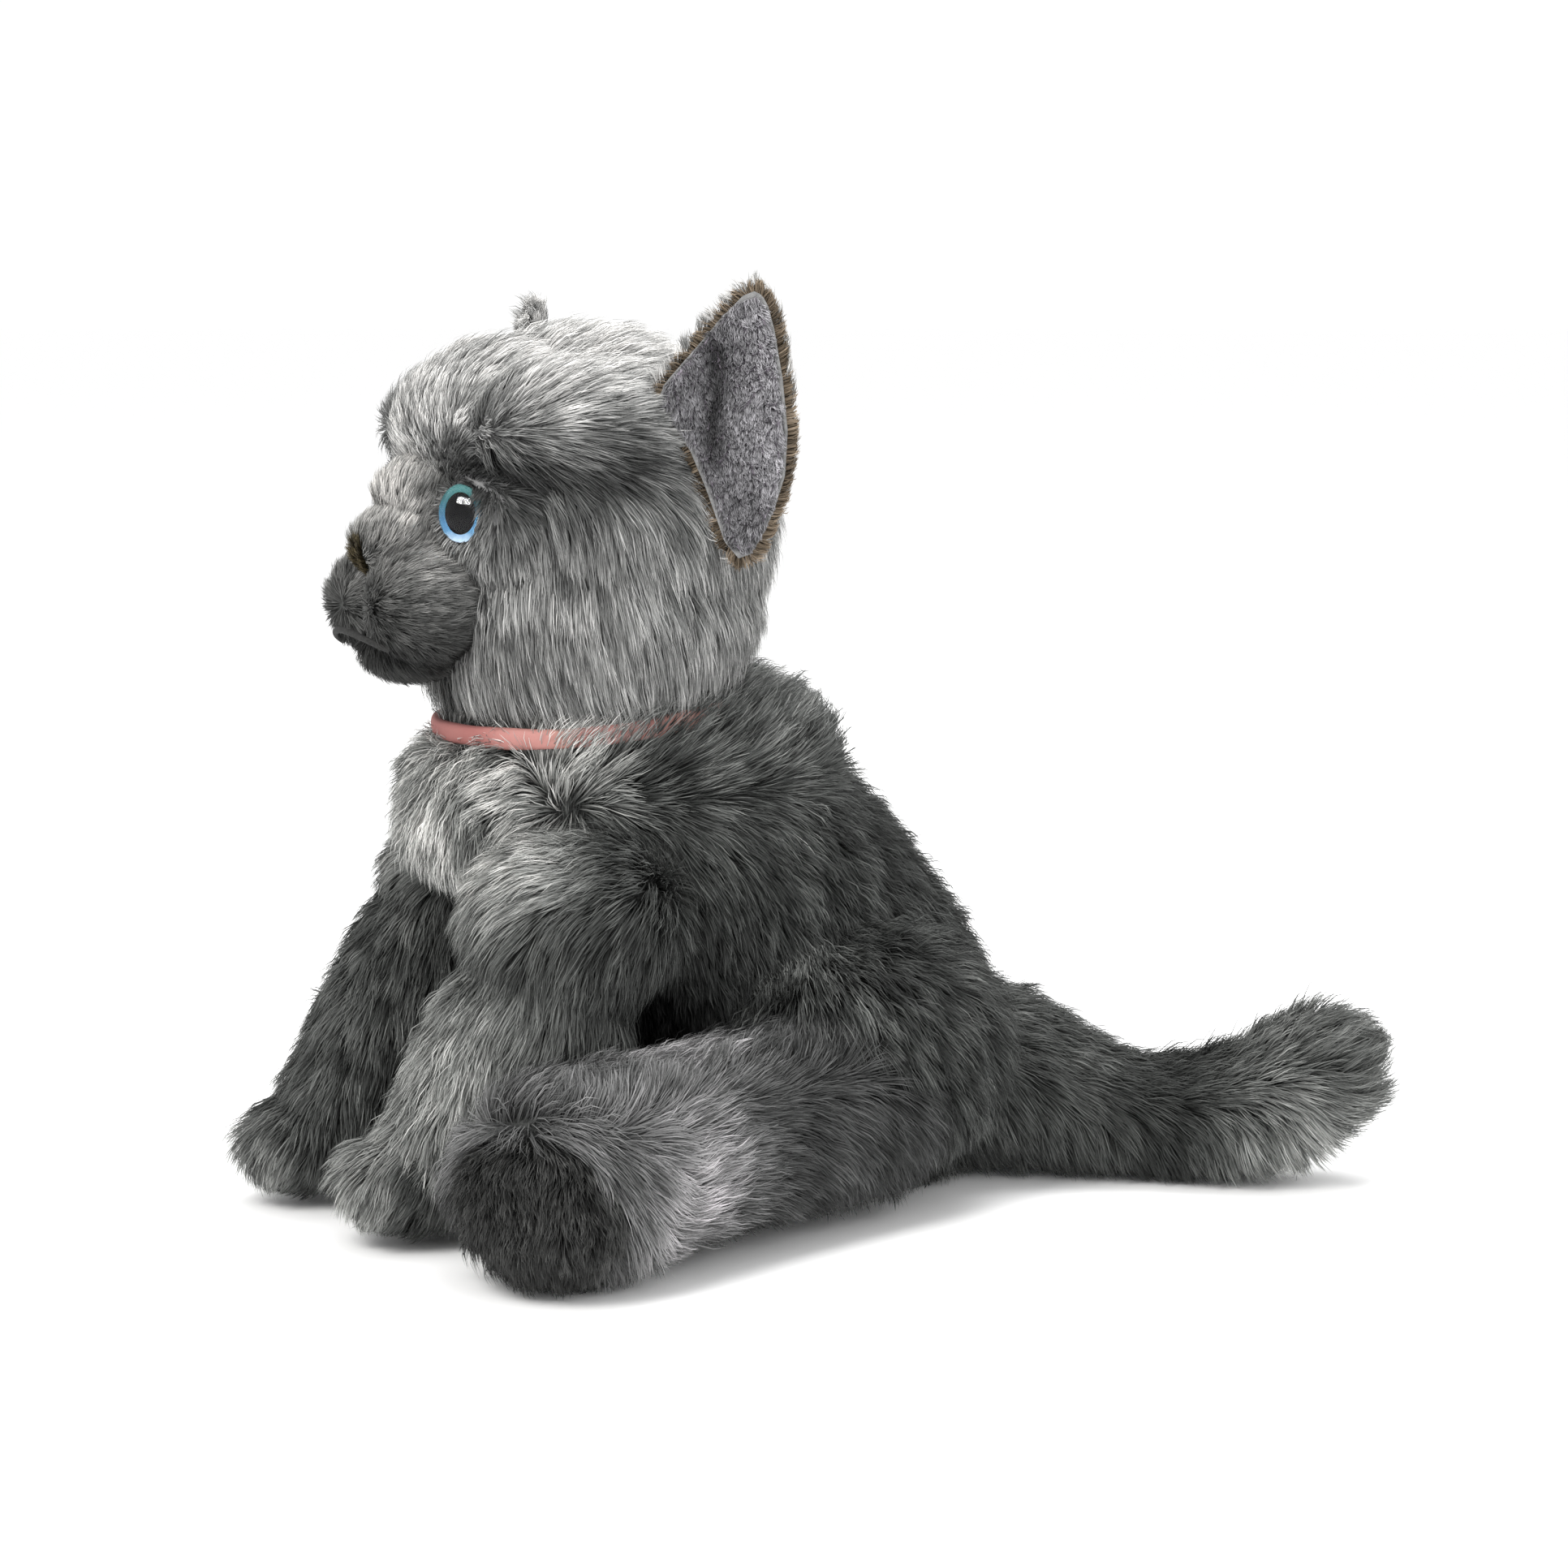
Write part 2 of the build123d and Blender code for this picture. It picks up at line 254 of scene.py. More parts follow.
def stack(sections):
    """A form through level ellipses: height, middle along Y, half width, half length."""
    rings, turns = [], np.linspace(0, 2 * math.pi, 64, False)
    for z, y, half_x, half_y in curve_through(sections, 6):
        rings.append([(half_x * math.cos(a), y + half_y * math.sin(a), z) for a in turns])
    return ring_form(rings)


def limb(rows):
    """A round-ended form along a line: each row is x, y, z, radius, in millimetres."""
    rows = curve_through(rows, 8)
    line, radii = rows[:, :3], rows[:, 3]
    along = np.gradient(line, axis=0)
    along /= np.linalg.norm(along, axis=1)[:, None]
    rings, turns = [], np.linspace(0, 2 * math.pi, 40, False)
    off_axis = (0.13, 0.2, 1.0)  # a direction that no limb runs along

    def ring(at, direction, radius):
        side = np.cross(direction, off_axis)
        side /= np.linalg.norm(side)
        other = np.cross(direction, side)
        rings.append([tuple(at + radius * (math.cos(a) * side + math.sin(a) * other))
                      for a in turns])

    def cap(end, outward, angles):
        for a in np.radians(angles):
            ring(line[end] + outward * along[end] * radii[end] * math.sin(a), along[end],
                 radii[end] * math.cos(a))

    cap(0, -1, np.linspace(85, 8, 7))
    for at, direction, radius in zip(line, along, radii):
        ring(at, direction, radius)
    cap(-1, 1, np.linspace(8, 85, 7))
    return ring_form(rings)


def sewn_form(name, forms, voxel, smooth, floor=None, shape=None):
    """One smooth stuffed skin round overlapping forms. voxel and floor are in millimetres:
    below floor the skin is pressed flat. shape moves the finished skin's points."""
    points, faces = [], []
    for p, f in forms:
        start = len(points)
        points.extend(p)
        faces.extend(tuple(start + i for i in face) for face in f)
    made = mesh_object(name, np.array(points) * MM, faces)
    remesh = made.modifiers.new("remesh", "REMESH")
    remesh.mode, remesh.voxel_size = "VOXEL", voxel * MM
    ease = made.modifiers.new("ease", "SMOOTH")
    ease.factor, ease.iterations = 0.5, smooth
    graph = bpy.context.evaluated_depsgraph_get()
    result = bpy.data.meshes.new_from_object(made.evaluated_get(graph))
    made.modifiers.clear()
    made.data = result
    co = np.empty(len(result.vertices) * 3)
    result.vertices.foreach_get("co", co)
    co = co.reshape(-1, 3)
    if shape:
        co = shape(co / MM) * MM
    if floor is not None:
        co[:, 2] = np.maximum(co[:, 2], floor * MM)
    result.vertices.foreach_set("co", co.ravel())
    result.update()
    result.polygons.foreach_set("use_smooth", [True] * len(result.polygons))
    return made


def surface(made):
    """Corner points, triangles and point normals of a mesh, in millimetres."""
    mesh = made.data
    mesh.calc_loop_triangles()
    co, nor = np.empty(len(mesh.vertices) * 3), np.empty(len(mesh.vertices) * 3)
    tri = np.empty(len(mesh.loop_triangles) * 3, np.int32)
    mesh.vertices.foreach_get("co", co)
    mesh.vertices.foreach_get("normal", nor)
    mesh.loop_triangles.foreach_get("vertices", tri)
    return co.reshape(-1, 3) / MM, tri.reshape(-1, 3), nor.reshape(-1, 3)


# ------------------------------------------------------------------ pile
def unit(v):
    return v / np.maximum(np.linalg.norm(v, axis=-1, keepdims=True), 1e-9)


def wander(p, size, seed):
    """Smooth values from -1 to 1 in space, with lumps about that many millimetres across."""
    rng = np.random.default_rng(seed)
    total = np.zeros(len(p))
    for octave in range(4):
        turn = unit(rng.normal(size=(3, 3)))
        phase, scale = rng.random(3) * 6.3, 2 * math.pi / size * 1.7**octave
        warp = np.sin(p @ turn.T * scale * 0.53 + phase[::-1]) * 1.3
        total += np.prod(np.sin(p @ turn.T * scale + phase + warp), axis=1) * 0.8**octave
    return np.clip(total * 0.9, -1, 1)


def nearest(points, targets):
    """For each point, the number of the closest target."""
    tree = kdtree.KDTree(len(targets))
    for i, p in enumerate(targets):
        tree.insert(p, i)
    tree.balance()
    return np.array([tree.find(p)[1] for p in points], np.int64)


def roots(made, per_mm2, rng, keep):
    """Points spread over a surface where keep allows, and the surface's normals there."""
    co, tri, nor = surface(made)
    a, b, c = co[tri[:, 0]], co[tri[:, 1]], co[tri[:, 2]]
    area = 0.5 * np.linalg.norm(np.cross(b - a, c - a), axis=1)
    count = int(area.sum() * per_mm2 * DENSITY)
    pick = rng.choice(len(tri), count, p=area / area.sum())
    u, v = rng.random((2, count, 1))
    u, v = np.where(u + v > 1, 1 - u, u), np.where(u + v > 1, 1 - v, v)
    at = a[pick] + u * (b[pick] - a[pick]) + v * (c[pick] - a[pick])
    n = (1 - u - v) * nor[tri[pick, 0]] + u * nor[tri[pick, 1]] + v * nor[tri[pick, 2]]
    n = unit(n)
    ok = keep(at, n)
    return at[ok], n[ok]


LEVELS = np.array([0.0, 0.38, 0.72, 1.0])  # how far along a strand its four cross-sections are
TAPER = np.array([1.0, 0.95, 0.7, 0.0])  # its width at each of them
MOST_STRANDS = 39000  # in one piece
FLOOR_GAP = 0.25  # no strand goes below this height


def pile(name, made, place, material, per_mm2, length, flow, tone, seed, keep,
         rise, clump=4.0, gather=0.55, width=0.27, droop=0.1, ruffle=0.25, streak=0.15):
    """Grows strands on a surface and puts each finished piece on its body with place.

    These are functions of the root points and their normals: length (or one number), flow, the
    way the strands lie, tone, their display grey, and keep, where any grow at all.
    rise is how steeply a strand leaves the fabric, clump the size of a lock, gather how tightly
    a lock closes, width a strand's width at its root, droop the sag of the tips, ruffle how far
    strands stray from the flow, and streak how far their tones differ."""
    rng = np.random.default_rng(seed)
    at, n = roots(made, per_mm2, rng, keep)
    count = len(at)
    long = length(at, n) if callable(length) else np.full(count, float(length))
    long = long * rng.uniform(0.72, 1.18, count)
    lay = flow(at, n)
    lay = unit(lay - (lay * n).sum(1, keepdims=True) * n)
    side = np.cross(n, lay)
    # swirls of two sizes, and a little of each strand's own
    swirl = wander(at, 16, seed + 5)[:, None] * 0.8 + wander(at, 7, seed + 6)[:, None] * 0.5
    lay = unit(lay + side * (swirl * ruffle * 1.6 + rng.normal(0, ruffle * 0.5, (count, 1))))
    lift = rise * (1 + 0.35 * wander(at, 12, seed + 7) + rng.normal(0, 0.12, count))
    lift = np.clip(lift, 0.08, 1.1)[:, None]
    reach = np.sqrt(np.clip(1 - lift**2 * 0.8, 0.05, 1))
    steps = []
    for t in LEVELS:
        bend = n * lift * (1 - (1 - t) ** 1.8) + lay * reach * t**1.25
        bend[:, 2] -= droop * t * t
        steps.append(at + bend * long[:, None])
    steps = np.stack(steps, 1)
    # neighbouring strands gather into locks
    lock_count = max(8, int(count / (per_mm2 * DENSITY * clump**2)))
    locks = rng.choice(count, lock_count, replace=False)
    lock = nearest(at, at[locks])
    pull = gather * rng.uniform(0.5, 1.1, (count, 1))
    pull = pull * (1 - 0.5 * rng.random((len(locks), 1))[lock])
    for i, t in enumerate(LEVELS[1:], 1):
        steps[:, i] += (steps[locks, i][lock] - steps[:, i]) * pull * t**1.3
    steps[:, 1:] += rng.normal(0, 0.18, (count, 3, 3)) * LEVELS[1:, None]
    steps[..., 2] = np.maximum(steps[..., 2], FLOOR_GAP)
    stray = 0.7 * rng.normal(size=len(locks))[lock] + rng.normal(size=count)
    level = tone(at, n) * (1 + streak * stray)
    value = np.interp(level, GREYS, np.linspace(0, 1, len(GREYS))).clip(0.004, 0.996)
    # ribbons that mostly face outwards
    along = unit(np.gradient(steps, axis=1))
    flat = unit(np.cross(along, n[:, None, :] + rng.normal(0, 0.45, (count, 1, 3))))
    half = width * 0.5 * rng.uniform(0.75, 1.25, (count, 1, 1)) * TAPER[:, None]
    left, right = steps - flat * half, steps + flat * half
    # cut into pieces by a slanting plane, mostly from front to back
    order = np.argsort(at @ np.array([0.3, 1.0, 0.5]), kind="stable")
    parts = math.ceil(count / MOST_STRANDS)
    for part, ids in enumerate(np.array_split(order, parts)):
        piece_name = name if parts == 1 else f"{name}_{part + 1}"
        place(ribbons(piece_name, left[ids], right[ids], value[ids], material))


def ribbons(name, left, right, value, material):
    """One mesh of all strands: each is two quads and a triangle at the tip."""
    count, corners, strand_points, strand_faces = len(left), 11, 7, 3
    points = np.empty((count, strand_points, 3))
    points[:, 0:6:2], points[:, 1:6:2], points[:, 6] = left[:, :3], right[:, :3], left[:, 3]
    loops = np.array([0, 1, 3, 2, 2, 3, 5, 4, 4, 5, 6])
    along = np.array([0, 0, 1, 1, 1, 1, 2, 2, 2, 2, 3])
    edge = np.array([-1, 1, 1, -1, -1, 1, 1, -1, -1, 1, 0])
    mesh = bpy.data.meshes.new(name)
    mesh.vertices.add(count * strand_points)
    mesh.vertices.foreach_set("co", (points * MM).astype(np.float32).ravel())
    mesh.loops.add(count * corners)
    used = np.arange(count)[:, None] * strand_points + loops
    mesh.loops.foreach_set("vertex_index", used.astype(np.int32).ravel())
    mesh.polygons.add(count * strand_faces)
    starts = np.arange(count)[:, None] * corners + np.array([0, 4, 8])
    mesh.polygons.foreach_set("loop_start", starts.astype(np.int32).ravel())
    mesh.polygons.foreach_set("use_smooth", np.ones(count * strand_faces, bool))
    mesh.update(calc_edges=True)
    layer = mesh.uv_layers.new(name="OFBake")
    uv = np.empty((count, corners, 2))
    uv[..., 0] = value[:, None] + edge * 0.003
    uv[..., 1] = 0.02 + 0.96 * LEVELS[along]
    layer.data.foreach_set("uv", np.clip(uv, 0.001, 0.999).astype(np.float32).ravel())
    mesh.materials.append(material)
    made = bpy.data.objects.new(name, mesh)
    bpy.context.scene.collection.objects.link(made)
    return made


# ------------------------------------------------------------------ the cat's forms
def less(radii, by=PILE):
    return tuple(r - by for r in radii)


def on_body(body, replaced=()):
    """A placer: it puts a piece on a body, with what it stands for."""
    def place(piece):
        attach(piece, body)
        if replaced:
            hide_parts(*replaced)
    return place


def across(a, b, start, end, slot, replaced=(), fill=None):
    """A placer for a piece between two bodies: it bakes the piece's place into its mesh and hides
    what it replaces. The bodies, the points, which are in millimetres, the slot and fill are not
    used.
    """
    def place(piece):
        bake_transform(piece)
        if replaced:
            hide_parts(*replaced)
    return place


def rows(p, x, y, z):
    """The same direction for every point."""
    return np.broadcast_to(np.array([x, y, z], float), p.shape).copy()


def mirrored(p):
    """The points, all moved to the cat's left side."""
    return np.c_[np.abs(p[:, 0]), p[:, 1:]]


def near(p, at, size):
    """1 at a place, falling to 0 about that many millimetres away."""
    return np.exp(-((p - np.array(at, float)) ** 2).sum(1) / (2 * (size * 0.5) ** 2))


def step(value, low, high):
    """0 below low, 1 above high, and smooth between them."""
    t = np.clip((value - low) / (high - low), 0, 1)
    return t * t * (3 - 2 * t)


def mix(a, b, share):
    """From a at 0 to b at 1."""
    share = np.asarray(share)
    share = share[:, None] if np.ndim(a) == 2 and share.ndim == 1 else share
    return a * (1 - share) + b * share


# Heights, middles along Y, half widths and half lengths of the body, to the top of its pile.
TORSO = [(3, 8, 44, 54), (12, 8, 55, 67), (38, 8, 57, 70), (62, 2, 53, 67), (86, -12, 50, 63),
         (102, -20, 46, 58), (114, -26, 44.5, 50), (121, -29, 42.5, 47), (128, -33, 35, 40)]
# Eggs: where each is, and its radii.
NAPE = ((0, -9, 103), (44, 42, 33))
CHEST = ((0, -51, 104), (36, 37.5, 29))
HAUNCHES = [((x, 16, 40), (30, 42, 35)) for x in (46, -46)]
SKULL = ((0, -38, 178), (55, 49, 49.5))
CHEEKS = ((0, -40, 159), (54, 48, 39))
BROW = ((0, -63.5, 198), (37, 29, 26))
TEMPLES = [((x, -48, 200), (29, 38, 20)) for x in (26, -26)]
SOCKETS = [((x, -71.0, 178.5), (21, 21, 21)) for x in (20.2, -20.2)]
PADS = [((x, -88, 156.5), (15.5, 17, 16)) for x in (11.5, -11.5)]
CHIN = ((0, -87, 145.5), (15, 14.5, 10.5))
BRIDGE = [((0, -84, 170.5), (15, 20, 13)), ((0, -78, 182), (16, 19.5, 14))]
# The cat's left is 1 and its right is -1.
SIDES = {"left": 1, "right": -1}
EYES = {1: (22.5, -82.5, 179.5), -1: (-22.5, -82.5, 179.5)}
EYE_R = 7.3
# Limbs: each row is x, y, z and a radius.
FRONT = {1: [(40, -54, 81, 23), (35, -74, 56, 22), (29, -91, 26, 18.5), (27.5, -99, 17, 16.5)],
         -1: [(-40, -50, 81, 22), (-34, -73, 56, 21), (-27, -95, 26, 19), (-25, -105, 17, 17)]}
ELBOWS = {1: [((38, -66, 78), (22, 25, 26)), ((41, -67, 57), (19, 23, 20))],
          -1: [((-40, -58, 76), (20, 22, 24)), ((-38, -68, 57), (18, 21, 20))]}
HIND = {1: [(54, 10, 30, 26), (68, -35, 28, 25), (81, -72, 26, 26.5), (85, -88, 25.5, 27.5)],
        -1: [(-54, 10, 30, 26), (-66, -28, 28, 25), (-74, -52, 26, 26), (-77, -62, 25.5, 26.5)]}
SOLE_TURN = {1: 40, -1: -22}  # degrees from straight ahead towards the cat's left
TAIL = [(16, 50, 28, 26), (29, 66, 26, 25), (43, 83, 20.5, 19.5), (56, 98, 17, 17),
        (70, 115, 19, 18), (79, 127, 24.5, 19), (84, 134, 30, 18)]


def limb_less(line, by=PILE):
    """A limb's fabric, under its pile."""
    return limb([(x, y, z, r - by) for x, y, z, r in line])


def depth_in(p, line):
    """How far points lie inside a row of balls, in millimetres."""
    best = np.full(len(p), -99.0)
    for x, y, z, r in curve_through(line, 4):
        best = np.maximum(best, r - np.linalg.norm(p - (x, y, z), axis=1))
    return best


def seat_reach(p):
    """1 on the oval outline of the seat, and less inside it."""
    return np.hypot(p[:, 0] / 50, (p[:, 1] - 8) / 63)


def sole_aim(side):
    """The level direction that a sole faces."""
    turn = math.radians(SOLE_TURN[side])
    return np.array([math.sin(turn), -math.cos(turn), 0.0])


body_pile = pile_material("grey_long_pile", (0.93, 1.0, 0.95), (1.0, 0.985, 0.955))
head_pile = pile_material("light_grey_long_pile", (0.97, 1.0, 0.98), (1.0, 0.985, 0.965), root=0.5)
thigh_pile = pile_material("lilac_tipped_pile", (0.95, 1.0, 0.97), (1.0, 0.94, 0.98))
short_pile = pile_material("grey_short_pile", (0.97, 1.0, 0.97), (1.0, 0.965, 0.93), root=0.5,
                           tip=1.12)
rim_pile = pile_material("brown_rim_pile", (1.0, 0.72, 0.42), (1.0, 0.82, 0.66), root=0.6)
lilac_pile = pile_material("lilac_lining_pile", (0.99, 0.98, 1.03), (0.99, 0.965, 1.02), root=0.78,
                           tip=1.1)
nose_pile = pile_material("olive_nose_pile", (1.0, 0.80, 0.42), (1.0, 0.82, 0.48), root=0.6)
backing = mottled("knitted_backing", (0.02, 0.021, 0.02), (0.05, 0.052, 0.05), 900, 0.95, 0.5)
light_backing = mottled("light_knitted_backing", (0.14, 0.14, 0.14), (0.26, 0.26, 0.26), 900, 0.95,
                        0.5)
lining_cloth = mottled("lilac_lining_cloth", (0.2, 0.18, 0.21), (0.34, 0.30, 0.35), 700, 0.95, 0.5)


def paint(made, material):
    made.data.materials.clear()
    made.data.materials.append(material)
    return made


def under(piece_name, forms, voxel, smooth, cloth, **options):
    """The fabric of a part, which its pile grows on."""
    return paint(sewn_form(piece_name, forms, voxel, smooth, **options), cloth)


def lit_shoulder(p):
    """The zone of painted light over each shoulder: 1 inside it."""
    ahead = -p[:, 1] - (45 + (120 - p[:, 2]) * 0.55)
    inner = 17 - 9 * step(p[:, 2], 104, 114)
    return step(ahead, -9, 9) * step(p[:, 2], 78, 94) * step(np.abs(p[:, 0]) - inner, 0, 8)


def over_collar(p):
    """1 behind and beside the neck, where the body's pile stands up over the collar."""
    return step(p[:, 2], 98, 114) * step(p[:, 1], -70, -56)


def elbow_hollow(p):
    """1 in the hollow behind each elbow, which the tones darken as painted shade."""
    return near(mirrored(p), (36, -38, 52), 21)


def make_torso():
    ground, hem = 2.2, 129  # the seat is pressed flat at one, and the pile stops at the other

    def shape(p):
        # the waist draws in behind each elbow
        p = p.copy()
        p[:, 0] -= np.sign(p[:, 0]) * 8 * elbow_hollow(p)
        return p

    forms = [stack([(z, y, hx - PILE, hy - PILE) for z, y, hx, hy in TORSO])]
    forms += [egg(at, less(r)) for at, r in [NAPE, CHEST] + HAUNCHES]
    skin = under("torso_plush", forms, 2.6, 6, backing, floor=ground, shape=shape)
    limbs = [FRONT[1], FRONT[-1], HIND[1], HIND[-1], TAIL[:4]]

    def keep(p, n):
        # none deep inside a limb, or under the cat
        ok = p[:, 2] < hem
        for line in limbs:
            ok &= depth_in(p, line) < 7
        sat_on = np.hypot(p[:, 0] / 40, (p[:, 1] - 8) / 50) < 0.8
        return ok & ~((n[:, 2] < -0.85) & (p[:, 2] < 6) & sat_on)

    def flow(p, n):
        d = rows(p, 0, 0.3, -1)
        upper_back = step(p[:, 2], 84, 104) * step(p[:, 1], -62, -48)
        d[:, 1] += 0.35 * step(p[:, 1], 0, 60) + 0.6 * upper_back
        d = mix(d, rows(p, 0, -1, -0.3), lit_shoulder(p) * 0.9)
        up = np.maximum(step(p[:, 2], 117, 124), over_collar(p))
        return mix(d, rows(p, 0, 0.75, 0.8), up)

    def tone(p, n):
        x = np.abs(p[:, 0])
        value = 64 + 10 * wander(p, 40, 3) + 10 * wander(p, 13, 4)
        value += (34 * step(p[:, 2], 96, 122) * step(p[:, 1], -60, -20)
                  + 12 * step(p[:, 1], 56, 74))
        front = step(-p[:, 1], 58, 74) * step(-x, -30, -20)
        value = mix(value, 132 + 9 * wander(p, 16, 7), front)
        value = mix(value, 172 + 9 * wander(p, 16, 6), lit_shoulder(p))
        value += 84 * near(p, (9, -84, 105), 15) + 26 * near(p, (-16, -82, 116), 26)
        tall = np.c_[x, p[:, 1], 100 + 0.5 * (p[:, 2] - 100)]
        value -= 44 * near(tall, (19, -78, 101), 8)
        value += 50 * near(p, (48, -10, 67), 8) + 30 * near(p, (50, -2, 66), 6)
        # painted shade in the hollow behind the elbow
        return np.maximum(value - 66 * elbow_hollow(p), 12)

    def long(p, n):
        value = (12.0 - 4 * step(-n[:, 2], 0.3, 0.9)
                 - 3.5 * step(p[:, 2], 114, 124) * (1 - over_collar(p)))
        value += 3.5 * over_collar(p) * step(p[:, 2], 108, 118)
        return value * (1 - 0.6 * elbow_hollow(p))

    on_body("torso", ("torso_skin", "torso_stuffing"))(skin)
    pile("torso_pile", skin, on_body("torso"), body_pile, 3.6, long, flow, tone,
         11, keep, rise=0.68, clump=3.2, gather=0.5, ruffle=0.28, streak=0.22)


def make_neck():
    line = [(0, -35, 96, 36), (0, -36, 112, 37), (0, -38, 130, 38), (0, -39, 138, 34)]
    bend = ("torso", "neck", (0, -37, 106), (0, -37, 122), "grey_plush")
    skin = under("neck_plush", [limb_less(line, 5)], 2.6, 4, backing)
    across(*bend, ("neck_skin", "neck_stuffing"), 0.8)(skin)
    pile("neck_pile", skin, across(*bend), body_pile, 2.2, 9,
         lambda p, n: rows(p, 0, 0, -1) + n * 0.1, lambda p, n: 80 + 10 * wander(p, 12, 8), 12,
         lambda p, n: (p[:, 2] > 106) & (p[:, 2] < 120), rise=0.5)


def head_tone(p, n):
    side = mirrored(p)
    x, y, z = side.T
    # the top of the head is lighter: painted light from above
    top = step(z + 0.10 * y, 186, 200)
    value = 136 + 9 * wander(p, 26, 21)
    value = mix(value, 204 + 7 * wander(p, 20, 23), top)
    value = mix(value, 182 + 16 * wander(p, 18, 24), step(-y, 66, 82) * step(z, 190, 200))
    value = mix(value, 198, step(-y, 66, 82) * step(-x, -17, -9) * step(z, 166, 180))
    value = mix(value, 182, step(y, -14, 4))
    value += 8 * step(-z, -152, -134)
    # painted shade at the eye's inner corner and in the fold from the brow back to the ear; dark
    # patches over the eye, back along the temple and at the cheek
    value -= 88 * near(side, (15.5, -88, 187), 11) + 70 * near(side, (28, -80, 190), 14)
    value -= (36 * near(side, (38, -70, 186), 20) + 30 * near(side, (46, -56, 190), 16)
              + 26 * near(side, (51, -40, 188), 14))
    value -= 22 * near(side, (30, -74, 152), 14)
    value -= (44 * near(side, (30, -77, 198), 16) + 62 * near(side, (44, -55, 200), 15)
              + 46 * near(side, (49, -38, 203), 15))
    upright_streaks = wander(p * np.array([1, 1, 0.35]), 6, 22)
    return np.maximum(value + 12 * upright_streaks * (1 - 0.7 * top), 30)


def head_flow(p, n):
    x, y, z = p[:, 0], p[:, 1], p[:, 2]
    down, back = rows(p, 0, 0.22, -1), rows(p, 0, 1, 0.12)
    ridge = 197 - 12 * step(-y, 62, 84)
    d = mix(down, back, step(z, ridge - 20, ridge + 2))
    face = step(-y, 72, 88) * step(-np.abs(x), -30, -12) * step(z, 160, 172)
    d = mix(d, rows(p, 0, 0.5, 0.9), face)
    # round each eye the pile parts: away from it in front, back over it, and down behind it
    for side, eye in EYES.items():
        away = p - np.array(eye)
        close = np.exp(-(np.maximum(np.linalg.norm(away, axis=1) - EYE_R, 0) / 5) ** 2)
        beside, above = step(away[:, 0] * side, -1, 5), step(away[:, 2], 5, 9)
        d = mix(d, unit(away) + rows(p, 0, 0, -0.35), close * 0.9 * (1 - beside) * (1 - above))
        d = mix(d, rows(p, 0.9 * side, 0.7, 0.1), close * 0.9 * above)
        d = mix(d, rows(p, -0.45 * side, -0.35, -1), close * beside * (1 - above))
    return d


def eye_gap(p):
    """How far points are from the middle of the nearer eye."""
    return np.min([np.linalg.norm(p - np.array(e), axis=1) for e in EYES.values()], axis=0)


def make_head():
    def shape(p):
        # each eye sits in a dimple, so the skin makes a low lid round it
        for side, eye in EYES.items():
            aim = unit(np.array([0.36 * side, -0.93, 0.05]))
            deep = (p - np.array(eye)) @ aim
            wide = np.linalg.norm(p - np.array(eye) - np.outer(deep, aim), axis=1)
            push = np.where(deep > -8, np.maximum(deep + 3, 0), 0)
            push = push * (1 - step(wide, 6.0, 8.4))
            p = p - aim * push[:, None]
        return p

    forms = [egg(at, less(r)) for at, r in [SKULL, CHEEKS, BROW] + TEMPLES + SOCKETS]
    skin = under("head_plush", forms, 2.2, 5, light_backing, shape=shape)
    on_body("head", ("head_skin", "head_stuffing"))(skin)

    def keep(p, n):
        pads = np.zeros(len(p), bool)
        for at, r in PADS + [CHIN]:
            pads |= (((p - np.array(at)) / np.array(less(r, 2))) ** 2).sum(1) < 1
        return (eye_gap(p) > EYE_R - 0.6) & ~pads & (p[:, 2] > 126)

    def long(p, n):
        value = (12.0 - 6.0 * step(-p[:, 1], 66, 84) * step(p[:, 2], 150, 162)
                 + 6.5 * step(-p[:, 2], -152, -138))
        value -= 5 * near(mirrored(p), (49, -34, 205), 28)
        return np.minimum(value, 3.4 + 0.6 * np.maximum(eye_gap(p) - EYE_R, 0))

    pile("head_pile", skin, on_body("head"), head_pile, 4.2, long,
         head_flow, head_tone, 13, keep, rise=0.42, clump=2.4, gather=0.45, ruffle=0.13, width=0.25,
         streak=0.18)


def mouth_gap(p):
    """How far points are above or below the stitched mouth line."""
    return np.abs(p[:, 2] - (150.5 - 0.02 * p[:, 0] ** 2))


